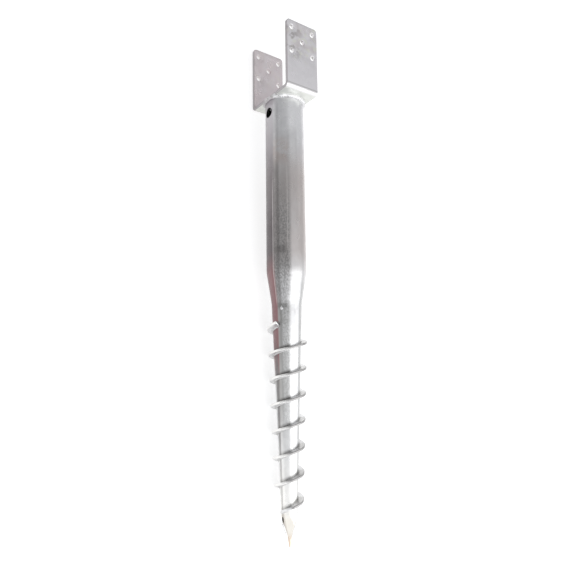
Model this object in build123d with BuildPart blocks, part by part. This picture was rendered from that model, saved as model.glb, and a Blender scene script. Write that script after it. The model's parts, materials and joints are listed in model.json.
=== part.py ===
"""Foundation ground screw: a swaged steel tube with a welded helical flight and a fork for a post.

The pieces are drawn about the screw's own axis, with Z up that axis, zero at the underside of the
fork's base and the point downwards. They are then laid on the ground as the screw comes to rest:
on the bend of one leg and on one of the last turns of the flight.
"""
import os
from math import asin, atan2, cos, degrees, hypot, radians, sin

from build123d import *

os.makedirs("parts", exist_ok=True)

# Driving dimensions, in millimetres and degrees

# Tube: a round tube, swaged to a neck and then drawn to a long cone
tube_radius = 34.0
tube_wall = 2.5
tube_length = 307.0
swage_length = 54.0
neck_reduction = 8.3  # radius lost along the swage
swage_bend_radius = 70.0
cone_length = 351.0
point_radius = 12.6428  # of the cone's small end

# Hole for the bar that turns the screw into the ground
bar_hole_radius = 9.0
bar_hole_depth = 26.0

# Point: the cone's end pressed to a four-sided point and drawn out to a nib
point_facet_slope = 0.282  # facet's distance from the axis lost for each millimetre of length
point_length = 19.0
nib_length = 17.5
nib_radius = 3.6
nib_end_radius = 0.9
drain_half_width = 2.4
drain_half_height = 4.6
drain_above_point = 7.0

# Fork: one strip of plate folded to a U
post_gap = 101.0
plate_thickness = 6.0
plate_width = 64.5
leg_height = 124.5
bend_inner_radius = 3.0
leg_corner_radius = 6.0
bolt_hole_radius = 4.5
bolt_spacing = 44.0
bolt_top_margin = 13.5

# Flight: a strip on edge, wound round the cone with a right-hand twist
flight_pitch = 41.6
flight_below_neck = 37.408  # from the neck to the middle of the flight's top end
flight_height = 9.8
flight_thickness = 4.0
flight_above_point = 17.4
flight_low_angle = 160.0
flight_low_runout = 13.0
flight_top_runout = 2.0

# Weld metal
fork_weld_leg = 4.6
fork_weld_rise = 2.4  # height that the bead laps onto the tube's rim, above the base's underside
flight_weld_leg = 2.8
seam_weld_radius = 1.5
seam_weld_top_gap = 0.6  # left between the bead and the drain opening above it

# Depths, measured down from the fork's base, and radii at them
neck_depth = tube_length + swage_length
neck_radius = tube_radius - neck_reduction
cone_taper = (neck_radius - point_radius) / cone_length
point_depth = neck_depth + cone_length
nib_depth = point_depth + point_length
screw_depth = nib_depth + nib_length
drain_depth = point_depth - drain_above_point
flight_low_depth = point_depth - flight_above_point
flight_turns = (flight_low_depth - neck_depth - flight_below_neck) / flight_pitch


def cone_radius(depth):
    """Outer radius of the drawn cone at a depth."""
    return neck_radius - cone_taper * (depth - neck_depth)


def flight_radius(depth):
    """Outer radius of the flight at a depth."""
    return cone_radius(depth) + flight_height


def axis_section(points, bends):
    """Half section, closed along the axis, of a turned body with the given outline."""
    with BuildSketch(Plane.XZ) as section:
        with BuildLine():
            outline = FilletPolyline(*points, radius=bends)
            Polyline(outline @ 1, (0, points[-1][1]), (0, points[0][1]), outline @ 0)
        make_face()
    return section.sketch


def facet_plane(turn, inset):
    """Plane of one facet of the point, facing outwards, moved inwards by a wall thickness."""
    facet_distance = cone_radius(point_depth) * cos(radians(45))
    tilt = atan2(point_facet_slope, 1)
    outward = Vector(cos(tilt), 0, -sin(tilt)).rotate(Axis.Z, turn)
    foot = Vector(facet_distance, 0, -point_depth).rotate(Axis.Z, turn)
    return Plane(origin=foot - outward * inset, z_dir=outward)


facet_turns = [45, 135, 225, 315]
half_outer = post_gap / 2 + plate_thickness
bend_outer_radius = bend_inner_radius + plate_thickness

# The tube is turned as a solid form, its end is pressed flat by the four facets, and the same form
# drawn one wall thickness inside it is taken out.
with BuildPart() as bore_form:
    add(
        axis_section(
            [
                (tube_radius - tube_wall, plate_thickness),
                (tube_radius - tube_wall, -tube_length),
                (neck_radius - tube_wall, -neck_depth),
                (cone_radius(nib_depth) - tube_wall, -nib_depth),
            ],
            [swage_bend_radius - tube_wall, swage_bend_radius + tube_wall],
        )
    )
    revolve(axis=Axis.Z)
    for turn in facet_turns:
        split(bisect_by=facet_plane(turn, tube_wall), keep=Keep.BOTTOM)

with BuildPart() as tube_form:
    add(
        axis_section(
            [
                (tube_radius, 0),
                (tube_radius, -tube_length),
                (neck_radius, -neck_depth),
                (cone_radius(screw_depth), -screw_depth),
            ],
            swage_bend_radius,
        )
    )
    revolve(axis=Axis.Z)
    for turn in facet_turns:
        split(bisect_by=facet_plane(turn, 0), keep=Keep.BOTTOM)
    with BuildSketch(Plane.XZ):
        with BuildLine():
            Polyline(
                (0, -nib_depth),
                (nib_radius, -nib_depth),
                (nib_end_radius, -screw_depth),
                (0, -screw_depth),
                close=True,
            )
        make_face()
    revolve(axis=Axis.Z)

with BuildPart() as ground_tube:
    add(tube_form.part)
    add(bore_form.part, mode=Mode.SUBTRACT)
    with BuildSketch(Plane.YZ.offset(-tube_radius)):
        with Locations((0, -bar_hole_depth)):
            Circle(bar_hole_radius)
        with Locations((0, -drain_depth)):
            Ellipse(drain_half_width, drain_half_height)
    extrude(amount=2 * tube_radius, mode=Mode.SUBTRACT)

# The fork is the strip's edge view, folded round two bends, drawn out to the strip's width
with BuildPart() as fork_bracket:
    with BuildSketch(Plane.YZ):
        with BuildLine():
            outside = FilletPolyline(
                (-half_outer, leg_height),
                (-half_outer, 0),
                (half_outer, 0),
                (half_outer, leg_height),
                radius=bend_outer_radius,
            )
            inside = FilletPolyline(
                (-post_gap / 2, leg_height),
                (-post_gap / 2, plate_thickness),
                (post_gap / 2, plate_thickness),
                (post_gap / 2, leg_height),
                radius=bend_inner_radius,
            )
            Line(outside @ 0, inside @ 0)
            Line(outside @ 1, inside @ 1)
        make_face()
    extrude(amount=plate_width / 2, both=True)
    leg_corners = edges().filter_by(Axis.Y).group_by(Axis.Z)[-1]
    fillet(leg_corners, radius=leg_corner_radius)
    bolt_pattern_height = leg_height - bolt_top_margin - bolt_spacing / 2
    with BuildSketch(Plane.XZ.offset(-half_outer)):
        with Locations((0, bolt_pattern_height)):
            Circle(bolt_hole_radius)
            with GridLocations(bolt_spacing, bolt_spacing, 2, 2):
                Circle(bolt_hole_radius)
    extrude(amount=2 * half_outer, mode=Mode.SUBTRACT)

# The flight is swept up a conical helix, then trimmed by an envelope that lets both ends run out,
# and by the tube that it stands on.
flight_rise = flight_turns * flight_pitch
flight_top_depth = flight_low_depth - flight_rise
low_cone_radius = cone_radius(flight_low_depth)

with BuildPart() as strip_sweep:
    with BuildLine() as strip_path:
        Helix(
            flight_pitch,
            flight_rise,
            low_cone_radius,
            center=(0, 0, -flight_low_depth),
            cone_angle=degrees(atan2(cone_taper, 1)),
        )
    with BuildSketch(Plane.XZ):
        with Locations((low_cone_radius, -flight_low_depth)):
            Rectangle(2 * flight_height, flight_thickness)
    sweep(path=strip_path.line, is_frenet=True)

with BuildPart() as flight_envelope:
    half_thickness = flight_thickness / 2
    low_end = flight_low_depth + half_thickness
    top_end = flight_top_depth - half_thickness
    with BuildSketch(Plane.XZ):
        with BuildLine():
            Polyline(
                (0, -top_end),
                (cone_radius(top_end), -top_end),
                (flight_radius(top_end + flight_top_runout), -top_end - flight_top_runout),
                (flight_radius(low_end - flight_low_runout), -low_end + flight_low_runout),
                (cone_radius(low_end), -low_end),
                (0, -low_end),
                close=True,
            )
        make_face()
    revolve(axis=Axis.Z)

with BuildPart() as helical_flight:
    add(strip_sweep.part, rotation=(0, 0, flight_low_angle))
    add(flight_envelope.part, mode=Mode.INTERSECT)
    add(tube_form.part, mode=Mode.SUBTRACT)

# Weld metal round the tube's end: a bead in the corner under the fork's base, which laps onto the
# tube's rim where the tube stands out past the plate's two edges.
with BuildPart() as fork_weld:
    with BuildSketch(Plane.XZ):
        with BuildLine():
            Polyline(
                (tube_radius - tube_wall, 0),
                (tube_radius - tube_wall, fork_weld_rise),
                (tube_radius + fork_weld_leg, 0),
                (tube_radius, -fork_weld_leg),
                close=True,
            )
        make_face()
    revolve(axis=Axis.Z)
    add(tube_form.part, mode=Mode.SUBTRACT)
    add(fork_bracket.part, mode=Mode.SUBTRACT)

# Weld metal along the flight's root, on the side that faces the point
with BuildPart() as bead_sweep:
    with BuildSketch(Plane.XZ):
        with Locations((low_cone_radius, -flight_low_depth - flight_thickness / 2)):
            Rectangle(2 * flight_weld_leg, 2 * flight_weld_leg, rotation=45)
    sweep(path=strip_path.line, is_frenet=True)

with BuildPart() as flight_weld:
    add(bead_sweep.part, rotation=(0, 0, flight_low_angle))
    add(tube_form.part, mode=Mode.SUBTRACT)
    add(helical_flight.part, mode=Mode.SUBTRACT)

# Weld metal down the two seams of the pressed point, from the drain openings to the nib
ridge_slope = point_facet_slope / cos(radians(45))
seam_top_depth = drain_depth + drain_half_height + seam_weld_top_gap + seam_weld_radius
seam_top = Vector(
    cone_radius(point_depth) - ridge_slope * (seam_top_depth - point_depth),
    0,
    -seam_top_depth,
)
seam_foot = Vector(
    cone_radius(point_depth) - ridge_slope * (nib_depth - point_depth),
    0,
    -nib_depth,
)
with BuildPart() as tip_seam_weld:
    with BuildSketch(Plane(origin=seam_top, z_dir=seam_foot - seam_top)):
        Circle(seam_weld_radius)
    extrude(amount=(seam_foot - seam_top).length)
    mirror(about=Plane.YZ)
    add(tube_form.part, mode=Mode.SUBTRACT)

# The screw as it lies: the tilt of the line that touches both the leg's bend and the lower corner of
# the last turn that passes under the axis.
turn_to_ground = (90 - flight_low_angle) % 360
ground_turn_depth = flight_low_depth - flight_pitch * turn_to_ground / 360
touch_radius = flight_radius(ground_turn_depth)
touch_depth = ground_turn_depth + flight_thickness / 2
bend_side = half_outer - bend_outer_radius - touch_radius
bend_along = bend_outer_radius + touch_depth
rest_tilt = atan2(bend_side, bend_along) + asin(bend_outer_radius / hypot(bend_side, bend_along))

axis_height = touch_radius * cos(rest_tilt) + touch_depth * sin(rest_tilt)
fork_end = leg_height * cos(rest_tilt) + half_outer * sin(rest_tilt)
point_end = -screw_depth * cos(rest_tilt)
resting = Plane(
    origin=(-(fork_end + point_end) / 2, 0, axis_height),
    x_dir=(0, -1, 0),
    z_dir=(cos(rest_tilt), 0, sin(rest_tilt)),
).location

ground_tube.part.label = "ground_tube"
ground_tube.part.location = resting
export_step(ground_tube.part, "parts/ground_tube.step")

fork_bracket.part.label = "fork_bracket"
fork_bracket.part.location = resting
export_step(fork_bracket.part, "parts/fork_bracket.step")

helical_flight.part.label = "helical_flight"
helical_flight.part.location = resting
export_step(helical_flight.part, "parts/helical_flight.step")

fork_weld.part.label = "fork_weld"
fork_weld.part.location = resting
export_step(fork_weld.part, "parts/fork_weld.step")

flight_weld.part.label = "flight_weld"
flight_weld.part.location = resting
export_step(flight_weld.part, "parts/flight_weld.step")

tip_seam_weld.part.label = "tip_seam_weld"
tip_seam_weld.part.location = resting
export_step(tip_seam_weld.part, "parts/tip_seam_weld.step")
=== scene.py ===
"""Looks of a galvanised foundation ground screw, lying on a pale floor in soft studio light.

Everything is in metres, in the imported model's frame. The screw has a frame of its own, which the
record's mounts give: zero at the underside of the fork's base, Z up the screw's axis towards the
post, X along the bar hole. Depths are measured down that axis, towards the point.
"""

import json
import logging
from dataclasses import dataclass
from enum import Enum
from math import cos, pi, radians, sin

import bmesh
import bpy
import numpy as np
from mathutils import Matrix, Vector

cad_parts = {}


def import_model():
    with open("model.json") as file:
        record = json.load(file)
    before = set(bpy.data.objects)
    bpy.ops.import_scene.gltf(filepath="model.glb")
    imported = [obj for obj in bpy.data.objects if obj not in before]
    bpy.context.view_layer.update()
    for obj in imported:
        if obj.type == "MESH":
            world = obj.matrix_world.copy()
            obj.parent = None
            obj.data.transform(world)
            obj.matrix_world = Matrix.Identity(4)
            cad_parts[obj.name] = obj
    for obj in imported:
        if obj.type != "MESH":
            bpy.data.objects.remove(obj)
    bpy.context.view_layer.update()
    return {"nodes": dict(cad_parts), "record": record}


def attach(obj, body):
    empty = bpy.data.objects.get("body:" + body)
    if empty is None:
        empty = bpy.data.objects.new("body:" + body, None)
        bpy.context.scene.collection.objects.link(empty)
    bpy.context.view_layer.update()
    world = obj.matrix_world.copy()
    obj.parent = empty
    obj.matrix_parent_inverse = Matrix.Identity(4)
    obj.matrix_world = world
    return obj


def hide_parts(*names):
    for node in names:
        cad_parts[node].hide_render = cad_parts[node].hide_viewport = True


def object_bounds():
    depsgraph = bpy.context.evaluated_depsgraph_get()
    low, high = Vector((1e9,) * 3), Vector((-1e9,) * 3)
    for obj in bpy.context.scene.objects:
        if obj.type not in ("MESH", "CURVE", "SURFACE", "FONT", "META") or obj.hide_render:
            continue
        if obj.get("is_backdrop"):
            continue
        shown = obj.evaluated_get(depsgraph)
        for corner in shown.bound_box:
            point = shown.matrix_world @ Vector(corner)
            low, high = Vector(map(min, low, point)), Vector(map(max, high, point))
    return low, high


LOG = logging.getLogger("ground_screw")
MM = 0.001


@dataclass(frozen=True)
class ScrewFrame:
    """The screw's own frame, as it lies in the row frame."""

    origin: np.ndarray
    axes: np.ndarray  # rows are the screw's X, Y and Z directions

    @classmethod
    def from_record(cls, record: dict, plate: float) -> "ScrewFrame":
        """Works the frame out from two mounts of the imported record.

        Args:
            record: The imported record.
            plate: Thickness of the fork's plate.

        Returns:
            The frame whose zero is under the fork's base.
        """
        mounts = {mount["name"]: mount for mount in record["mounts"]}
        up = np.array(mounts["post_seat"]["axis"], float)
        across = -np.array(mounts["bar_hole"]["axis"], float)
        seat = np.array(mounts["post_seat"]["pos_m"], float)
        return cls(seat - plate * up, np.array([across, np.cross(up, across), up]))

    def place(self, points: np.ndarray) -> np.ndarray:
        """Carries points, given in the screw's frame, into the row frame."""
        return self.origin + points @ self.axes

    def rotation(self) -> Matrix:
        """The turn from the screw's frame to the row frame."""
        return Matrix([list(row) for row in self.axes]).transposed()


@dataclass(frozen=True)
class Profile:
    """Outer shape of the drawn tube below the neck, and of the flight wound on it."""

    neck_depth: float = 361 * MM
    neck_radius: float = 25.7 * MM
    taper: float = 0.0372
    pitch: float = 41.6 * MM
    turns: float = 7.12
    low_depth: float = 694.6 * MM
    low_angle: float = 160 * pi / 180
    strip_height: float = 9.8 * MM
    strip_thickness: float = 4 * MM
    low_runout: float = 13 * MM
    top_runout: float = 2.0 * MM

    def cone(self, depth: np.ndarray) -> np.ndarray:
        """Cone radius: the neck's radius less the taper times the depth below the neck."""
        return self.neck_radius - self.taper * (depth - self.neck_depth)

    def depth_at(self, turn: np.ndarray) -> np.ndarray:
        """Depth of the strip's middle after a number of turns up from its low end."""
        return self.low_depth - self.pitch * turn

    def angle_at(self, turn: np.ndarray) -> np.ndarray:
        """Angle about the axis after a number of turns."""
        return self.low_angle + 2 * pi * turn

    def stand(self, depth: np.ndarray) -> np.ndarray:
        """How far the strip stands off the cone: its full height, run out to nothing at both ends
        along straight lines."""
        low_end = self.low_depth + self.strip_thickness / 2
        top_end = self.low_depth - self.pitch * self.turns - self.strip_thickness / 2
        low = np.clip((low_end - depth) / self.low_runout, 0, 1)
        top = np.clip((depth - top_end) / self.top_runout, 0, 1)
        return self.strip_height * np.minimum(low, top)


def cylindrical(radius: np.ndarray, angle: np.ndarray, depth: np.ndarray) -> np.ndarray:
    """Points from radius, angle about the axis and depth: (r cos a, r sin a, -depth)."""
    radius, angle, depth = np.broadcast_arrays(radius, angle, depth)
    return np.stack([radius * np.cos(angle), radius * np.sin(angle), -depth], axis=-1)


def smooth_noise(t: np.ndarray, seed: int, waves: int = 6) -> np.ndarray:
    """A smooth wander of about unit size: a sum of sines whose frequencies rise by steps of about
    1.7 and whose sizes fall as they rise, with seeded phases."""
    rng = np.random.default_rng(seed)
    rate = 1.7 ** np.arange(waves) * rng.uniform(0.85, 1.15, waves)
    size = 1 / np.sqrt(1 + np.arange(waves))
    phase = rng.uniform(0, 2 * pi, waves)
    value = np.sin(t[..., None] * rate + phase) * size
    return value.sum(-1) / size.sum()


def link_mesh(name: str, points: np.ndarray, faces: list | np.ndarray) -> bpy.types.Object:
    """Puts points and faces into a new smooth-shaded mesh object at the origin.

    Args:
        name: Name of the object.
        points: Vertex places in the row frame, n by 3.
        faces: Vertex numbers of each face.

    Returns:
        The linked object.
    """
    mesh = bpy.data.meshes.new(name)
    mesh.from_pydata(points.tolist(), [], [list(map(int, face)) for face in faces])
    mesh.polygons.foreach_set("use_smooth", np.ones(len(mesh.polygons), bool))
    mesh.update()
    piece = bpy.data.objects.new(name, mesh)
    bpy.context.scene.collection.objects.link(piece)
    return piece


def carried_section(name: str, grid: np.ndarray, ring: bool) -> bpy.types.Object:
    """A closed section carried along a path, as a closed skin.

    Args:
        name: Name of the object.
        grid: Points in the row frame, stations by section points by 3. The section runs
            anticlockwise as seen from the path's end.
        ring: Whether the path closes on itself. If not, both ends get a flat cap.

    Returns:
        The linked object.
    """
    stations, count, _ = grid.shape
    index = np.arange(stations * count).reshape(stations, count)
    if ring:
        index = np.vstack([index, index[:1]])
    here, ahead = index[:-1], index[1:]
    quads = np.stack([here, np.roll(here, -1, 1), np.roll(ahead, -1, 1), ahead], -1)
    faces = quads.reshape(-1, 4).tolist()
    if not ring:
        faces.append(index[0][::-1].tolist())
        faces.append(index[-1].tolist())
    return link_mesh(name, grid.reshape(-1, 3), faces)


Paint = tuple[float, float, float, float] | bpy.types.NodeSocket


def rgba(red: float, green: float, blue: float) -> Paint:
    """An opaque linear colour."""
    return (red, green, blue, 1.0)


# A near-black for painted shade.
PAINTED_SHADE = rgba(0.13, 0.12, 0.12)
LINE = (0.81, 1.62)  # spread, in degrees, of a mark as thin as a drawn line


class Wire:
    """A number on a node's socket, with Python's operators standing for Math nodes."""

    def __init__(self, bench: "Bench", socket: bpy.types.NodeSocket) -> None:
        """Keeps the socket and the bench that makes new nodes."""
        self.bench = bench
        self.socket = socket

    def _math(self, operation: str, *values: "Wire | float", clamp: bool = False) -> "Wire":
        """One Math node on the given values."""
        inputs = {place: value for place, value in enumerate(values)}
        settings = {"operation": operation, "use_clamp": clamp}
        return self.bench.wire("ShaderNodeMath", settings, inputs)

    def __add__(self, other: "Wire | float") -> "Wire":
        """Sum."""
        return self._math("ADD", self, other)

    def __radd__(self, other: float) -> "Wire":
        """Sum, with a number on the left."""
        return self._math("ADD", other, self)

    def __sub__(self, other: "Wire | float") -> "Wire":
        """Difference."""
        return self._math("SUBTRACT", self, other)

    def __rsub__(self, other: float) -> "Wire":
        """Difference, with a number on the left."""
        return self._math("SUBTRACT", other, self)

    def __mul__(self, other: "Wire | float") -> "Wire":
        """Product."""
        return self._math("MULTIPLY", self, other)

    def __rmul__(self, other: float) -> "Wire":
        """Product, with a number on the left."""
        return self._math("MULTIPLY", other, self)

    def __truediv__(self, other: "Wire | float") -> "Wire":
        """Quotient."""
        return self._math("DIVIDE", self, other)

    def __rtruediv__(self, other: float) -> "Wire":
        """Quotient, with a number on the left."""
        return self._math("DIVIDE", other, self)

    def __pow__(self, other: float) -> "Wire":
        """Power."""
        return self._math("POWER", self, other)

    def angle_over(self, other: "Wire") -> "Wire":
        """The angle, in radians, whose tangent is this over the other."""
        return self._math("ARCTAN2", self, other)

    def fraction(self) -> "Wire":
        """The value less its whole part."""
        return self._math("FRACT", self)

    def magnitude(self) -> "Wire":
        """The value without its sign."""
        return self._math("ABSOLUTE", self)

    def clamped(self) -> "Wire":
        """The value, kept between 0 and 1."""
        return self._math("ADD", self, 0.0, clamp=True)

    def rise(self, low: float, high: float) -> "Wire":
        """0 below low, 1 above high and a smooth step between. High may be under low."""
        settings = {"interpolation_type": "SMOOTHSTEP"}
        inputs = {"Value": self, "From Min": low, "From Max": high}
        return self.bench.wire("ShaderNodeMapRange", settings, inputs)


class Bench:
    """Makes and links the nodes of one material, or of the world."""

    def __init__(self, owner: bpy.types.Material | bpy.types.World) -> None:
        """Clears the owner's nodes.

        Args:
            owner: The material or world to fill.
        """
        owner.use_nodes = True
        self.tree = owner.node_tree
        self.tree.nodes.clear()

    def node(self, kind: str, settings: dict, inputs: dict) -> bpy.types.Node:
        """Makes one node.

        Args:
            kind: The node's type name.
            settings: Attributes of the node, set before its sockets.
            inputs: A value, a socket or a wire for each named or numbered input.

        Returns:
            The node.
        """
        node = self.tree.nodes.new(kind)
        for name, value in settings.items():
            setattr(node, name, value)
        for name, value in inputs.items():
            if isinstance(value, Wire):
                self.tree.links.new(value.socket, node.inputs[name])
            elif isinstance(value, bpy.types.NodeSocket):
                self.tree.links.new(value, node.inputs[name])
            else:
                node.inputs[name].default_value = value
        return node

    def wire(self, kind: str, settings: dict, inputs: dict, output: int | str = 0) -> Wire:
        """Makes one node and wraps one of its outputs."""
        return Wire(self, self.node(kind, settings, inputs).outputs[output])

    def blend(self, factor: "Wire | float", first: Paint, second: Paint) -> bpy.types.NodeSocket:
        """Mixes two colours, from the first at factor 0 to the second at factor 1."""
        settings = {"data_type": "RGBA", "clamp_factor": True}
        return self.node("ShaderNodeMix", settings, {0: factor, 6: first, 7: second}).outputs[2]


class Pattern:
    """Procedural patterns in the screw's own frame, shared by its finishes."""

    def __init__(self, bench: Bench, frame: ScrewFrame) -> None:
        """Turns Object coordinates into the screw's frame.

        Args:
            bench: The bench of the material.
            frame: The screw's frame.
        """
        self.bench = bench
        start = bench.node("ShaderNodeTexCoord", {}, {}).outputs["Object"]
        inputs = {
            "Vector": start,
            "Location": tuple(frame.origin),
            "Rotation": tuple(frame.rotation().to_euler()),
        }
        turned = bench.node("ShaderNodeMapping", {"vector_type": "TEXTURE"}, inputs)
        self.point = turned.outputs[0]
        parts = bench.node("ShaderNodeSeparateXYZ", {}, {0: self.point})
        self.x, self.y, height = (Wire(bench, parts.outputs[i]) for i in range(3))
        self.depth = 0.0 - height
        self.radius = (self.x * self.x + self.y * self.y) ** 0.5

    def side(self, degrees: float, spread: tuple[float, float]) -> Wire:
        """Picks out one side of the screw, by the cosine of the angle from its middle.

        Args:
            degrees: The side's middle, from the screw's X towards its Y.
            spread: Degrees from the middle where the side starts to fade, and where it ends.

        Returns:
            1 on that side, falling to 0 at its ends.
        """
        way = radians(degrees)
        cosine = (self.x * cos(way) + self.y * sin(way)) / self.radius
        full, none = (cos(radians(angle)) for angle in spread)
        return cosine.rise(none, full)

    def above_strip(self, shape: "Profile") -> Wire:
        """How far a point lies above the strip's middle, along the axis, in pitches.

        The turns up from the strip's low end, less the angle in turns, less its whole part, and
        one more where no turn lies below.

        Args:
            shape: The profile that the strip is wound on.

        Returns:
            0 on the strip, rising to 1 at its next turn.
        """
        around = self.y.angle_over(self.x) / (2 * pi)
        climbed = (shape.low_depth - self.depth) / shape.pitch
        total = climbed - around + shape.low_angle / (2 * pi)
        above = total.fraction()
        turn_below = climbed - above
        return above + turn_below.rise(shape.turns, shape.turns + 0.02)

    def noise(self, scale: float, detail: float = 3, rough: float = 0.5,
              stretch: tuple[float, float, float] = (1, 1, 1), shift: float = 0.0) -> Wire:
        """Soft noise from 0 to 1.

        Args:
            scale: Waves a metre.
            detail: Octaves.
            rough: Share of the finer octaves.
            stretch: Frequency factor on each of the screw's axes.
            shift: Offset that makes a pattern of its own.

        Returns:
            The noise's value.
        """
        scaled = self.bench.node(
            "ShaderNodeMapping",
            {"vector_type": "POINT"},
            {"Vector": self.point, "Location": (shift, shift, shift), "Scale": stretch},
        )
        inputs = {"Vector": scaled.outputs[0], "Scale": scale, "Detail": detail, "Roughness": rough}
        return self.bench.wire("ShaderNodeTexNoise", {}, inputs)

    def crystals(self, scale: float) -> Wire:
        """One random value for each zinc crystal, of about 1/scale metres across."""
        inputs = {"Vector": self.point, "Scale": scale, "Randomness": 1.0}
        cell = self.bench.node("ShaderNodeTexVoronoi", {"feature": "F1"}, inputs)
        split = self.bench.node("ShaderNodeSeparateColor", {}, {0: cell.outputs["Color"]})
        return Wire(self.bench, split.outputs[0])


class Region(Enum):
    """Where on the screw a zinc finish lies."""

    TUBE = "zinc_on_tube"
    PLATE = "zinc_on_fork_plate"
    FLIGHT = "zinc_on_flight"
    WELD = "zinc_on_weld_metal"


class Coat:
    """A colour built up in layers, each laid over the last."""

    def __init__(self, pattern: Pattern, colour: bpy.types.NodeSocket) -> None:
        """Starts from one colour.

        Args:
            pattern: Patterns in the screw's frame.
            colour: The colour under every layer.
        """
        self.pattern = pattern
        self.colour = colour

    def lay(self, amount: Wire | float, colour: Paint) -> None:
        """Lays a colour over the coat, from none at amount 0 to all at amount 1."""
        self.colour = self.pattern.bench.blend(amount, self.colour, colour)

    def stain_or_shade(self, stain_or_shade: "StainOrShade", share: Wire | float = 1.0) -> None:
        """Lays one mark over the coat; marks are stains, painted shade and painted light.

        Args:
            stain_or_shade: The stain.
            share: What its amount is multiplied by.
        """
        self.lay(stain_or_shade.cover(self.pattern) * share, stain_or_shade.colour)


@dataclass(frozen=True)
class StainOrShade:
    """A soft mark on one side of the screw, between two depths; marks are stains, painted shade and
    painted light.

    Attributes:
        colour: Its colour.
        amount: How much of it shows where it is full, from 0 to 1.
        side: The middle of its side, in degrees, or None if it goes all round.
        spread: Degrees from that middle where it starts to fade, and where it ends.
        start: Depths where it begins and where it is full, or None with no upper border.
        end: Depths where it starts to fade and where it ends, or None with no lower border.
    """

    colour: Paint
    amount: float = 1.0
    side: float | None = None
    spread: tuple[float, float] = (0, 90)
    start: tuple[float, float] | None = None
    end: tuple[float, float] | None = None

    def cover(self, pattern: Pattern) -> Wire | float:
        """How much of the mark shows at a point.

        Args:
            pattern: Patterns in the screw's frame.

        Returns:
            The amount, faded towards the mark's borders.
        """
        cover = self.amount
        if self.side is not None:
            cover = pattern.side(self.side, self.spread) * cover
        if self.start is not None:
            begins, full = self.start
            cover = pattern.depth.rise(begins, full) * cover
        if self.end is not None:
            fades, ends = self.end
            cover = pattern.depth.rise(ends, fades) * cover
        return cover


@dataclass(frozen=True)
class BoltHoles:
    """Where the four outer bolt holes of each leg stand."""

    middle_height: float = 89 * MM
    half_spacing: float = 22 * MM
    radius: float = 4.5 * MM
    rim_width: float = 1.1 * MM

    def rim(self, pattern: Pattern) -> Wire:
        """1 at a hole's wall, falling to 0 at the rim's outer edge."""
        across = pattern.x.magnitude() - self.half_spacing
        aloft = (self.middle_height + pattern.depth).magnitude() - self.half_spacing
        away = (across * across + aloft * aloft) ** 0.5
        return away.rise(self.radius + self.rim_width, self.radius - 0.2 * MM)


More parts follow.
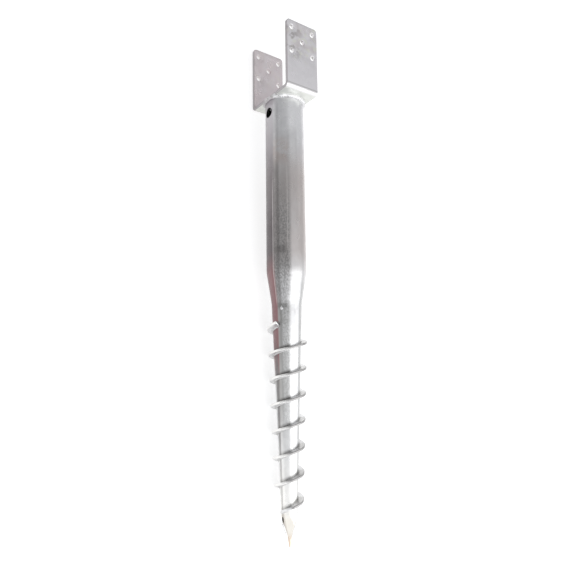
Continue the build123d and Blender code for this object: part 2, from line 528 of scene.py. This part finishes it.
@dataclass(frozen=True)
class ZincFinish:
    """Hot-dip zinc on one region of the screw, with that region's own stains and its painted shade
    and light.

    Sides of the screw are given by their angle about its axis, in degrees from its X towards its
    Y. As it lies, 270 is uppermost and 180 is level.
    """

    region: Region
    light: Paint = rgba(0.80, 0.80, 0.80)
    dull: Paint = rgba(0.55, 0.545, 0.55)
    metallic: float = 0.85
    smooth: float = 0.24
    coarse: float = 0.42
    grain_depth: float = 0.05 * MM
    spangle: float = 0.25

    def build(self, frame: ScrewFrame) -> bpy.types.Material:
        """Makes the material.

        Args:
            frame: The screw's frame, in which the patterns lie.

        Returns:
            The material.
        """
        material = bpy.data.materials.new(self.region.value)
        bench = Bench(material)
        pattern = Pattern(bench, frame)
        cloud = pattern.noise(22, 4, 0.55)
        grain = pattern.noise(700, 3, 0.6, shift=3.1)
        streak = pattern.noise(160, 3, 0.6, (1, 1, 0.08), 1.7)
        crystal = pattern.crystals(150)
        dulling = cloud.rise(0.38, 0.68) * 0.45 + streak.rise(0.4, 0.7) * 0.2
        dulling = dulling + (crystal - 0.5) * self.spangle + (grain - 0.5) * 0.35
        coat = Coat(pattern, bench.blend(dulling.clamped(), self.light, self.dull))
        self._stains_and_shade(pattern, coat)
        roughness = self.smooth + (self.coarse - self.smooth) * cloud + (crystal - 0.5) * 0.12
        height = grain * self.grain_depth + cloud * (4 * self.grain_depth)
        bump = bench.node(
            "ShaderNodeBump", {}, {"Height": height, "Strength": 0.6, "Distance": 1.0}
        )
        shader = bench.node(
            "ShaderNodeBsdfPrincipled",
            {},
            {
                "Base Color": coat.colour,
                "Metallic": self.metallic,
                "Roughness": roughness.clamped(),
                "Normal": bump.outputs[0],
            },
        )
        bench.node("ShaderNodeOutputMaterial", {}, {"Surface": shader.outputs[0]})
        return material

    def _stains_and_shade(self, pattern: Pattern, coat: Coat) -> None:
        """Lays the region's stains, painted shade and painted light over the zinc's own colour.

        Args:
            pattern: Patterns in the screw's frame.
            coat: The coat to lay them on.
        """
        if self.region is Region.TUBE:
            self._tube_skin(pattern, coat)
            self._tube_flank(pattern, coat)
            self._cone(pattern, coat)
            self._point_and_bore(pattern, coat)
        elif self.region is Region.PLATE:
            self._legs(pattern, coat)
            self._plate_edges(pattern, coat)
        elif self.region is Region.FLIGHT:
            self._flight(pattern, coat)
        else:
            self._weld(pattern, coat)

    def _tube_skin(self, pattern: Pattern, coat: Coat) -> None:
        """Dulls the straight tube, and paints shade with grain on the shoulder between its level
        and top sides.
        """
        depth = pattern.depth
        patch = pattern.noise(14, 4, 0.6, (1, 1, 0.5), 5.3).rise(0.3, 0.7)
        dulled = 0.12 + 0.50 * depth.rise(0.07, 0.16) + 0.45 * patch
        violet, brown = rgba(0.50, 0.495, 0.52), rgba(0.50, 0.46, 0.445)
        skin = pattern.bench.blend(depth.rise(0.06, 0.14), violet, brown)
        coat.lay(depth.rise(0.33, 0.27) * dulled, skin)
        # Painted shade near the top of the tube, dimming the lamp's reflection.
        crest_shade = StainOrShade(
            rgba(0.35, 0.34, 0.34), 0.25, side=257, spread=(9.9, 21.6),
            start=(0.05, 0.08), end=(0.22, 0.26),
        )
        coat.stain_or_shade(crest_shade)
        speck = pattern.noise(420, 2, 0.7, (1, 1, 0.7), 9.2).rise(0.38, 0.64)
        speck = speck * (0.2 + 0.8 * depth.rise(0.14, 0.24))
        # Painted shade on the shoulder, broken by a speck of grain.
        grainy_shade = StainOrShade(
            rgba(0.23, 0.225, 0.22), side=221, spread=(19.9, 32.9),
            start=(0.02, 0.22), end=(0.31, 0.42),
        )
        coat.stain_or_shade(grainy_shade, 0.40 + 0.5 * speck)
        # Painted shade down the level side, in two steps, standing in for darker reflections there.
        along = 0.25 * depth.rise(0, 0.03) + 0.33 * depth.rise(0.09, 0.14)
        along = along - 0.10 * depth.rise(0.41, 0.45)
        coat.stain_or_shade(StainOrShade(PAINTED_SHADE, side=201, spread=(9.9, 18.2), end=(0.50, 0.60)), along)
        # More painted shade on the level side, over the cone's upper part.
        coat.stain_or_shade(
            StainOrShade(PAINTED_SHADE, 0.40, side=199, spread=(7.3, 13.6), start=(0.39, 0.43), end=(0.50, 0.62))
        )
        # Painted shade over the cone's shoulder, broken by the speck.
        speckled_shade = StainOrShade(
            rgba(0.30, 0.30, 0.28), side=208, spread=(30.7, 43.9),
            start=(0.345, 0.38), end=(0.50, 0.60),
        )
        coat.stain_or_shade(speckled_shade, 0.15 + 0.50 * speck)
        coat.stain_or_shade(
            StainOrShade(rgba(0.60, 0.60, 0.59), 0.35, side=221, spread=(19.9, 32.9), start=(0.38, 0.5))
        )
        self._tube_marks(pattern, coat, patch)

    def _tube_marks(self, pattern: Pattern, coat: Coat, patch: Wire) -> None:
        """Adds the single marks on the tube: a warm patch, two dark bands and a drawn line.

        Args:
            pattern: Patterns in the screw's frame.
            coat: The coat to lay them on.
            patch: Noise that makes the dark bands' borders uneven.
        """
        warm = StainOrShade(
            rgba(0.46, 0.385, 0.35), 0.5, side=215, spread=(18.2, 36.9),
            start=(0.07, 0.09), end=(0.11, 0.135),
        )
        coat.stain_or_shade(warm, pattern.noise(60, 3, 0.6, shift=1.3).rise(0.3, 0.6))
        wavy = pattern.depth + (patch - 0.5) * 0.006
        dark_band = StainOrShade(rgba(0.13, 0.125, 0.12), 0.45, side=213, spread=(18.2, 29.5))
        for middle, reach in ((0.273, 0.010), (0.364, 0.006)):
            coat.stain_or_shade(dark_band, (wavy - middle).magnitude().rise(reach, 0.3 * reach))
        coat.stain_or_shade(
            StainOrShade(
                rgba(0.75, 0.72, 0.70), 0.35, side=240, spread=LINE,
                start=(0.12, 0.15), end=(0.265, 0.275),
            )
        )

    def _tube_flank(self, pattern: Pattern, coat: Coat) -> None:
        """Paints shade on the level side, red towards the neck as a painted reflection, draws the
        tube's own seam on it, and paints shade under the fork's base.
        """
        depth, blend = pattern.depth, pattern.bench.blend
        # Painted shade on the level side, turning to a painted red reflection towards the neck.
        shade_grey = blend(depth.rise(0.02, 0.16), rgba(0.47, 0.45, 0.47), rgba(0.20, 0.18, 0.185))
        shade_grey = blend(depth.rise(0.16, 0.24), shade_grey, rgba(0.13, 0.115, 0.12))
        red = depth.rise(0.27, 0.32) * depth.rise(0.51, 0.45)
        mauve = blend(red, shade_grey, rgba(0.24, 0.13, 0.135))
        coat.stain_or_shade(StainOrShade(mauve, 0.92, side=165, spread=(29.5, 36.9), end=(0.44, 0.52)))
        seam = StainOrShade(
            rgba(0.75, 0.72, 0.70), 0.45, side=195, spread=LINE,
            start=(0.12, 0.2), end=(0.35, 0.375),
        )
        coat.stain_or_shade(seam)
        # Painted shade on the tube just under the fork's base and bead.
        shade_under_base = StainOrShade(
            rgba(0.24, 0.215, 0.235), 0.7, side=175, spread=(23.1, 41.4), end=(0.006, 0.026)
        )
        coat.stain_or_shade(shade_under_base)

    def _cone(self, pattern: Pattern, coat: Coat) -> None:
        """Paints light on the cone towards its end, turning cream at the point, and paints shade on
        its level side, in the corner above the strip and in a line down its upper far side."""
        depth = pattern.depth
        pale, cream = rgba(0.93, 0.92, 0.89), rgba(0.86, 0.82, 0.74)
        # Painted light: the cone is painted paler towards the point.
        painted_light = pattern.bench.blend(depth.rise(0.685, 0.71), pale, cream)
        coat.stain_or_shade(StainOrShade(painted_light, 0.85, start=(0.58, 0.68)))
        shadow = StainOrShade(rgba(0.17, 0.16, 0.16), side=181, spread=(5.1, 12.0), start=(0.40, 0.48))
        coat.stain_or_shade(shadow, 0.40 + 0.40 * depth.rise(0.66, 0.54))
        corner = StainOrShade(
            rgba(0.10, 0.095, 0.09), side=208, spread=(31.8, 47.2),
            start=(0.385, 0.40), end=(0.69, 0.70),
        )
        near = pattern.above_strip(Profile()).rise(0.22, 0.06)
        coat.stain_or_shade(corner, near * (0.45 + 0.45 * depth.rise(0.62, 0.50)))
        # A painted shade line down the cone's upper far side.
        coat.stain_or_shade(
            StainOrShade(rgba(0.45, 0.45, 0.44), 0.6, side=303, spread=(7.3, 15.2), start=(0.31, 0.34))
        )

    def _point_and_bore(self, pattern: Pattern, coat: Coat) -> None:
        """Shades both sides of the point, gilds the nib and paints the bore's inner wall near black
        as painted shade.
        """
        coat.stain_or_shade(
            StainOrShade(rgba(0.55, 0.52, 0.46), 0.5, side=320, spread=(11.5, 21.6), start=(0.695, 0.705))
        )
        coat.stain_or_shade(
            StainOrShade(rgba(0.45, 0.41, 0.36), 0.5, side=180, spread=(14.1, 25.8), start=(0.69, 0.70))
        )
        coat.stain_or_shade(StainOrShade(rgba(0.70, 0.54, 0.40), 0.85, start=(0.722, 0.742)))
        # Painted shade: the bore's inner wall is painted near black.
        bore_shade = pattern.radius.rise(33.4 * MM, 32.6 * MM)
        coat.stain_or_shade(StainOrShade(rgba(0.03, 0.03, 0.03), end=(0.30, 0.305)), bore_shade)

    def _legs(self, pattern: Pattern, coat: Coat) -> None:
        """Mottles the legs and reddens the far one."""
        coat.lay(0.75, rgba(0.72, 0.695, 0.715))
        upper = pattern.depth.rise(-0.045, -0.07)
        mottle = pattern.noise(48, 3, 0.55, shift=7.7).rise(0.42, 0.68)
        coat.lay(mottle * upper * 0.7, rgba(0.57, 0.525, 0.52))
        spots = pattern.noise(110, 2, 0.5, shift=8.1).rise(0.55, 0.65)
        coat.lay(spots * upper * 0.65, rgba(0.70, 0.70, 0.62))
        blotch = pattern.noise(75, 3, 0.6, shift=4.4).rise(0.50, 0.64)
        coat.lay(blotch * pattern.x.rise(0.014, -0.022) * upper * 0.75, rgba(0.36, 0.335, 0.33))
        far_leg = pattern.y.rise(0.035, 0.048)
        mauve = pattern.noise(40, 3, 0.5, shift=2.2).rise(0.3, 0.7)
        coat.lay(far_leg * (0.5 + 0.4 * mauve), rgba(0.71, 0.635, 0.645))

    def _plate_edges(self, pattern: Pattern, coat: Coat) -> None:
        """Lightens the base's underside, paints shade along the bends, marks the holes and paints
        shade on the sheared edges.
        """
        coat.stain_or_shade(StainOrShade(rgba(0.70, 0.715, 0.67), 0.85, start=(-0.0012, -0.0004)))
        # Painted shade along the bends, narrowing their highlight.
        coat.stain_or_shade(
            StainOrShade(rgba(0.36, 0.355, 0.35), 0.6, start=(-0.0095, -0.0075), end=(-0.005, -0.003))
        )
        coat.lay(BoltHoles().rim(pattern) * 0.4, rgba(0.86, 0.86, 0.85))
        # Painted shade on the plate's sheared side edges.
        sheared = pattern.x.magnitude().rise(31.6 * MM, 32.1 * MM)
        coat.lay(sheared * 0.85, rgba(0.33, 0.31, 0.32))

    def _flight(self, pattern: Pattern, coat: Coat) -> None:
        """Paints shade on the strip's upper far side, and paints its rim lit on the level side and
        shaded near the top.
        """
        # Painted shade on the strip's upper far side.
        coat.stain_or_shade(StainOrShade(rgba(0.48, 0.47, 0.45), 0.5, side=305, spread=(18.2, 34.9)))
        shape = Profile()
        stand = pattern.radius - shape.cone(0.0) + pattern.depth * shape.taper
        rim = stand.rise(shape.strip_height - 1.3 * MM, shape.strip_height - 0.7 * MM)
        # Painted light and shade on the rim: lit on the level side, shaded near the top.
        shaded = pattern.side(290, (41.4, 69.5))
        lit, unlit = rgba(0.90, 0.89, 0.87), rgba(0.34, 0.33, 0.325)
        coat.lay(rim * 0.9, pattern.bench.blend(shaded, lit, unlit))

    def _weld(self, pattern: Pattern, coat: Coat) -> None:
        """Dulls the flight's bead, paints shade on the fork's bead on its level side, and flecks
        the fork's bead.
        """
        coat.stain_or_shade(StainOrShade(rgba(0.50, 0.49, 0.48), 0.55, start=(0.38, 0.39), end=(0.69, 0.70)))
        at_fork = (0.01, 0.02)
        # Painted shade on the fork's bead, on its level side.
        coat.stain_or_shade(
            StainOrShade(rgba(0.40, 0.37, 0.385), 0.65, side=175, spread=(18.2, 36.9), end=at_fork)
        )
        burnt = pattern.noise(260, 2, 0.6, shift=6.6).rise(0.57, 0.66)
        coat.stain_or_shade(StainOrShade(rgba(0.22, 0.21, 0.20), 0.7, end=at_fork), burnt)


@dataclass
class HelicalFlight:
    """The strip wound round the cone, and the weld bead along its root."""

    frame: ScrewFrame
    profile: Profile
    steps_per_turn: int = 120
    bead_steps_per_turn: int = 360
    edge_round: float = 1.1 * MM
    root_sink: float = 0.5 * MM
    wander: float = 0.12 * MM
    thinnest: float = 0.05 * MM
    least_edge: float = 0.02 * MM
    bead: float = 2.5 * MM
    ripple_length: float = 3.4 * MM
    ripple_swell: float = 0.10
    slow_swell: float = 0.14
    bead_end_turns: float = 0.06
    bead_fade_height: float = 3 * MM
    lifted_turn: float = 0.30
    lift_slope: float = 0.50

    def _turns(self, per_turn: int) -> np.ndarray:
        """Evenly spaced turn numbers from the low end to the top end."""
        return np.linspace(0, self.profile.turns, int(self.profile.turns * per_turn) + 1)

    def strip(self) -> bpy.types.Object:
        """Builds the strip.

        Its section is a rectangle whose two outer corners are quarter circles. The section stays
        in a plane through the axis and climbs one pitch a turn, and its outer edge wanders a
        little in radius. Over the last part of a turn the strip leans up towards the fork, by a
        slope that grows with the square of the way along.

        Returns:
            The strip's object.
        """
        profile = self.profile
        turn = self._turns(self.steps_per_turn)[:, None]
        depth = profile.depth_at(turn)
        height = np.maximum(profile.stand(depth), self.thinnest)
        height = height - self.wander * (0.5 + 0.5 * smooth_noise(turn * 9, 4))
        height = np.maximum(height, self.least_edge)
        half = profile.strip_thickness / 2
        corner = np.minimum(self.edge_round, height * 0.45)
        arc = np.linspace(0, pi / 2, 6)[None, :]
        out_low = height - corner + corner * np.sin(arc)
        down = -half + corner - corner * np.cos(arc)
        root = np.full_like(height, -self.root_sink)
        middle = height * np.linspace(0.25, 0.75, 3)[None, :]
        stand = np.hstack([root, middle, out_low, out_low[:, ::-1], middle[:, ::-1], root])
        lift = np.hstack(
            [
                np.full_like(root, -half),
                np.full_like(middle, -half),
                down,
                -down[:, ::-1],
                np.full_like(middle, half),
                np.full_like(root, half),
            ]
        )
        way = np.clip(1 - (profile.turns - turn) / self.lifted_turn, 0, 1)
        lift = lift + self.lift_slope * way**2 * np.maximum(stand, 0)
        grid = cylindrical(profile.cone(depth) + stand, profile.angle_at(turn), depth - lift)
        return carried_section("flight_strip", self.frame.place(grid), ring=False)

    def root_bead(self) -> bpy.types.Object:
        """Builds the weld bead in the corner on the strip's lower side.

        A circle is carried along the corner. Its radius swells once each ripple, as the absolute
        sine of the way along, and wanders slowly.

        Returns:
            The bead's object.
        """
        profile = self.profile
        turn = self._turns(self.bead_steps_per_turn)[:, None]
        depth = profile.depth_at(turn)
        way = 2 * pi * turn * profile.neck_radius * 0.85
        phase = pi * way / self.ripple_length + smooth_noise(turn * 60, 2)
        ripple = self.ripple_swell * np.abs(np.sin(phase))
        slow = self.slow_swell * smooth_noise(turn * 14, 9)
        ends = np.clip(np.minimum(turn, profile.turns - turn) / self.bead_end_turns, 0.15, 1)
        ends = np.sqrt(ends) * np.clip(profile.stand(depth) / self.bead_fade_height, 0.1, 1)
        radius = self.bead * (0.86 + ripple + slow) * ends
        around = np.linspace(0, 2 * pi, 15)[None, :-1]
        stand = radius * np.cos(around)
        lift = radius * np.sin(around) * 0.95 - profile.strip_thickness / 2
        grid = cylindrical(profile.cone(depth) + stand, profile.angle_at(turn), depth - lift)
        return carried_section("flight_root_bead", self.frame.place(grid), ring=False)


@dataclass
class ZincDrip:
    """A drop of zinc that set on the neck as the screw was lifted from the bath."""

    frame: ScrewFrame
    angle: float = 215 * pi / 180
    depth: float = 370 * MM
    half_width: float = 2.1 * MM
    half_length: float = 3.6 * MM
    height: float = 1.5 * MM
    narrowing: float = 0.35
    sink: float = 0.3 * MM

    def drop(self, profile: Profile) -> bpy.types.Object:
        """Builds the drop.

        An ellipse of rings on the tube's skin, whose height falls as the square root of one less
        the ring's radius squared, and whose width narrows towards its upper end.

        Args:
            profile: The outer shape that the drop lies on.

        Returns:
            The drop's object.
        """
        ring = np.linspace(1, 0.04, 12)[:, None]
        around = np.linspace(0, 2 * pi, 25)[None, :-1]
        narrow = 1 - self.narrowing * ring * np.sin(around)
        wide = self.half_width * ring * np.cos(around) * narrow
        long = self.half_length * ring * np.sin(around)
        skin = profile.cone(self.depth - long)
        radius = skin + self.height * np.sqrt(1 - ring**2 * 0.999) - self.sink
        grid = cylindrical(radius, self.angle + wide / skin, self.depth - long)
        return carried_section("neck_drip", self.frame.place(grid), ring=False)


@dataclass
class ForkJoint:
    """The fork's plate with its edges broken, and the weld that holds it to the tube."""

    frame: ScrewFrame
    tube_radius: float = 34 * MM
    edge_break: float = 0.7 * MM
    bead: float = 5.0 * MM
    widest: float = 4.5 * MM
    ripple_length: float = 4.2 * MM
    sunk_in: float = 0.4 * MM
    sunk_down: float = 0.3 * MM

    def plate(self, node: bpy.types.Object) -> bpy.types.Object:
        """Builds the plate from a merged copy of its CAD node, with sheared edges worn round.

        Args:
            node: The CAD node of the fork.

        Returns:
            The plate's object.
        """
        mesh = node.data.copy()
        mesh.name = "fork_plate"
        form = bmesh.new()
        form.from_mesh(mesh)
        bmesh.ops.remove_doubles(form, verts=form.verts, dist=1e-6)
        bmesh.ops.dissolve_limit(form, angle_limit=0.01, verts=form.verts, edges=form.edges)
        sharp = [edge for edge in form.edges if edge.is_manifold and edge.calc_face_angle() > 0.6]
        bmesh.ops.bevel(
            form, geom=sharp, offset=self.edge_break, segments=3, profile=0.5, affect="EDGES",
            clamp_overlap=False,
        )
        bmesh.ops.triangulate(form, faces=form.faces)
        form.to_mesh(mesh)
        form.free()
        mesh.polygons.foreach_set("use_smooth", np.ones(len(mesh.polygons), bool))
        mesh.set_sharp_from_angle(angle=0.5)
        piece = bpy.data.objects.new("fork_plate", mesh)
        bpy.context.scene.collection.objects.link(piece)
        return piece

    def bead_ring(self) -> bpy.types.Object:
        """Builds the bead round the tube's end.

        A circle, sunk into the corner, is carried round the tube. Its radius swells once each
        ripple, as the absolute sine of the way round, and wanders slowly.

        Returns:
            The bead's object.
        """
        angle = np.linspace(0, 2 * pi, 721)[:-1, None]
        count = round(2 * pi * self.tube_radius / self.ripple_length)
        swing = 1.2 * np.sin(3 * angle) + 0.9 * np.sin(7 * angle + 1)
        ripple = 0.07 * np.abs(np.sin(angle * count / 2 + swing))
        slow = 0.07 * np.sin(5 * angle + 1) + 0.06 * np.sin(8 * angle + 2)
        slow = slow + 0.05 * np.sin(13 * angle) + 0.03 * np.sin(23 * angle + 3)
        radius = self.bead * (0.86 + ripple + slow)
        around = np.linspace(0, 2 * pi, 21)[None, :-1]
        reach = self.tube_radius - self.sunk_in + radius * np.cos(around)
        reach = np.minimum(reach, self.tube_radius + self.widest)
        drop = self.sunk_down + radius * np.sin(around)
        grid = cylindrical(reach, angle, drop)
        return carried_section("fork_bead", self.frame.place(grid[:, ::-1]), ring=True)


@dataclass
class Studio:
    """Floor, lamps and camera."""

    frame: ScrewFrame
    turn: float = 0.6115
    rise: float = 0.1509
    roll: float = -0.0130
    distance: float = 889.0 * MM
    side: float = -2.32 * MM
    middle_depth: float = 333.7 * MM
    lens: float = 32.69
    floor_half: float = 6.0
    floor_glow: float = 0.66
    lamp_place: tuple = (-1.05, -1.27, 1.28)
    lamp_size: tuple = (2.30, 3.16)
    lamp_turn: float = 0.13
    lamp_radiance: float = 0.93

    def camera(self) -> bpy.types.Object:
        """Stands the camera where it looks across the screw, from above the floor.

        The view direction is the screw's Y turned about its axis towards X and raised towards Z.
        """
        turn, rise, roll = self.turn, self.rise, self.roll
        look = np.array([sin(turn) * cos(rise), cos(turn) * cos(rise), sin(rise)])
        level = np.array([cos(turn), -sin(turn), 0])
        above = np.array([-sin(turn) * sin(rise), -cos(turn) * sin(rise), cos(rise)])
        right = level * cos(roll) + above * sin(roll)
        up = above * cos(roll) - level * sin(roll)
        stand = np.array([0, 0, -self.middle_depth]) - self.side * right - self.distance * look
        place = self.frame.place(stand)
        right, up, look = (way @ self.frame.axes for way in (right, up, look))
        data = bpy.data.cameras.new("camera")
        data.lens = self.lens
        data.sensor_width = 36
        camera = bpy.data.objects.new("camera", data)
        turned = Matrix([list(right), list(up), list(-look)]).transposed().to_4x4()
        camera.matrix_world = Matrix.Translation(Vector(place)) @ turned
        bpy.context.scene.collection.objects.link(camera)
        bpy.context.scene.camera = camera
        return camera

    def floor(self) -> bpy.types.Object:
        """Lays the pale floor, which shows white and keeps the screw's shadow."""
        half = self.floor_half
        corners = np.array([[-half, -half, 0], [half, -half, 0], [half, half, 0], [-half, half, 0]])
        floor = link_mesh("floor", corners, [(0, 1, 2, 3)])
        material = bpy.data.materials.new("pale_floor")
        bench = Bench(material)
        path = bench.node("ShaderNodeLightPath", {}, {})
        kinds = ("Camera", "Glossy", "Transmission")
        camera, glossy, passing = (Wire(bench, path.outputs[f"Is {kind} Ray"]) for kind in kinds)
        shown = (camera + glossy + passing).clamped()
        shader = bench.node(
            "ShaderNodeBsdfPrincipled",
            {},
            {
                "Base Color": rgba(0.50, 0.50, 0.50),
                "Roughness": 0.9,
                "Specular IOR Level": 0.0,
                "Emission Color": rgba(1, 1, 1),
                "Emission Strength": shown * self.floor_glow,
            },
        )
        bench.node("ShaderNodeOutputMaterial", {}, {"Surface": shader.outputs[0]})
        floor.data.materials.append(material)
        floor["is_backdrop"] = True
        return floor

    def lamp(self) -> bpy.types.Object:
        """Hangs one wide soft rectangular lamp overhead, level and facing down.

        Its power is its face's brightness, where 1 shows white, times pi and its area.
        """
        data = bpy.data.lights.new("overhead", "AREA")
        data.shape = "RECTANGLE"
        data.size, data.size_y = self.lamp_size
        data.energy = self.lamp_radiance * pi * data.size * data.size_y
        lamp = bpy.data.objects.new("overhead", data)
        lamp.location = self.lamp_place
        lamp.rotation_euler = (0, 0, self.lamp_turn)
        bpy.context.scene.collection.objects.link(lamp)
        return lamp

    def room(self) -> bpy.types.World:
        """Surrounds the scene with a plain room.

        The room is brightest beyond the point, fair on the far side and dim behind the camera and
        beyond the fork.
        """
        world = bpy.data.worlds.new("room")
        bpy.context.scene.world = world
        bench = Bench(world)
        ray = bench.node("ShaderNodeTexCoord", {}, {}).outputs["Generated"]
        parts = bench.node("ShaderNodeSeparateXYZ", {}, {0: ray})
        along, across = Wire(bench, parts.outputs[0]), Wire(bench, parts.outputs[1])
        point_end = along.rise(-0.08, -0.22)
        fork_end = along.rise(0.62, 0.85)
        far_side = across.rise(0.55, -0.05)
        middle = (1 - fork_end) * (0.27 + 0.22 * far_side)
        strength = 0.26 + middle + 0.64 * point_end
        glow = bench.node(
            "ShaderNodeBackground", {}, {"Color": rgba(0.97, 0.98, 1.0), "Strength": strength}
        )
        bench.node("ShaderNodeOutputWorld", {}, {"Surface": glow.outputs[0]})
        return world


def dress(piece: bpy.types.Object, material: bpy.types.Material) -> None:
    """Gives a piece one material in all its slots."""
    slots = piece.data.materials
    if not slots:
        slots.append(material)
    for place in range(len(slots)):
        slots[place] = material


def settle(piece: bpy.types.Object, slot: str, *nodes: str) -> None:
    """Ties a new piece to the body, hides the CAD nodes it stands for and logs its face count."""
    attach(piece, "root")
    if nodes:
        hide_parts(*nodes)
    LOG.info("%s: %d faces", piece.name, len(piece.data.polygons))


def corners() -> list[list[float]]:
    """The object's box as plain lists of numbers."""
    return [list(map(float, corner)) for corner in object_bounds()]


def main() -> None:
    logging.basicConfig(level=logging.INFO, format="%(name)s: %(message)s")
    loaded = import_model()
    frame = ScrewFrame.from_record(loaded["record"], plate=6 * MM)
    studio = Studio(frame)
    studio.camera()
    studio.floor()
    studio.lamp()
    studio.room()

    tube_zinc = ZincFinish(Region.TUBE).build(frame)
    plate_zinc = ZincFinish(Region.PLATE, spangle=0.5).build(frame)
    flight_zinc = ZincFinish(Region.FLIGHT).build(frame)
    weld_zinc = ZincFinish(Region.WELD, coarse=0.6).build(frame)

    nodes = loaded["nodes"]
    dress(nodes["ground_tube"], tube_zinc)
    dress(nodes["tip_seam_weld"], weld_zinc)

    flight = HelicalFlight(frame, Profile())
    strip = flight.strip()
    dress(strip, flight_zinc)
    settle(strip, "galvanised_flight", "helical_flight")
    bead = flight.root_bead()
    dress(bead, weld_zinc)
    settle(bead, "galvanised_weld", "flight_weld")

    drip = ZincDrip(frame).drop(Profile())
    dress(drip, weld_zinc)
    settle(drip, "galvanised_tube")

    joint = ForkJoint(frame)
    plate = joint.plate(nodes["fork_bracket"])
    dress(plate, plate_zinc)
    settle(plate, "galvanised_plate", "fork_bracket")
    ring = joint.bead_ring()
    dress(ring, weld_zinc)
    settle(ring, "galvanised_weld", "fork_weld")

    bpy.context.scene.view_settings.view_transform = "Standard"


if __name__ == "__main__":
    main()
